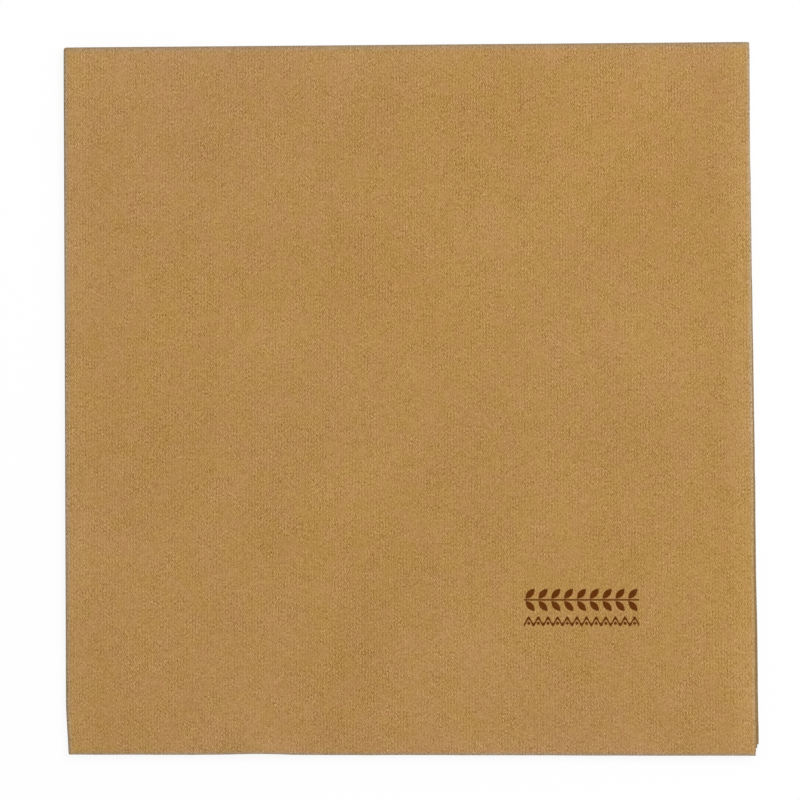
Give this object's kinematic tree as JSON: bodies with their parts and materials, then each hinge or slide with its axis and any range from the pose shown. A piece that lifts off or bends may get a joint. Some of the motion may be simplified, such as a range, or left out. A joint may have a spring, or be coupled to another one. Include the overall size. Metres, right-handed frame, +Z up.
{
  "type": "paper napkin",
  "caption": "Square paper napkin of kraft-brown airlaid paper, folded over twice and lying flat, with a small printed motif in one corner.",
  "frame": {"origin": "under the middle of the folded napkin's outline, on the surface it lies on", "axes": "+Z up, +X to the right across the napkin from its first fold, +Y away towards its second fold"},
  "size_m": [0.1984, 0.2042, 0.0033],
  "materials": {
    "paper": "matte kraft-brown airlaid paper with a fine embossed lattice"
  },
  "bodies": {
    "root": {"napkin": "paper"}
  },
  "joints": []
}
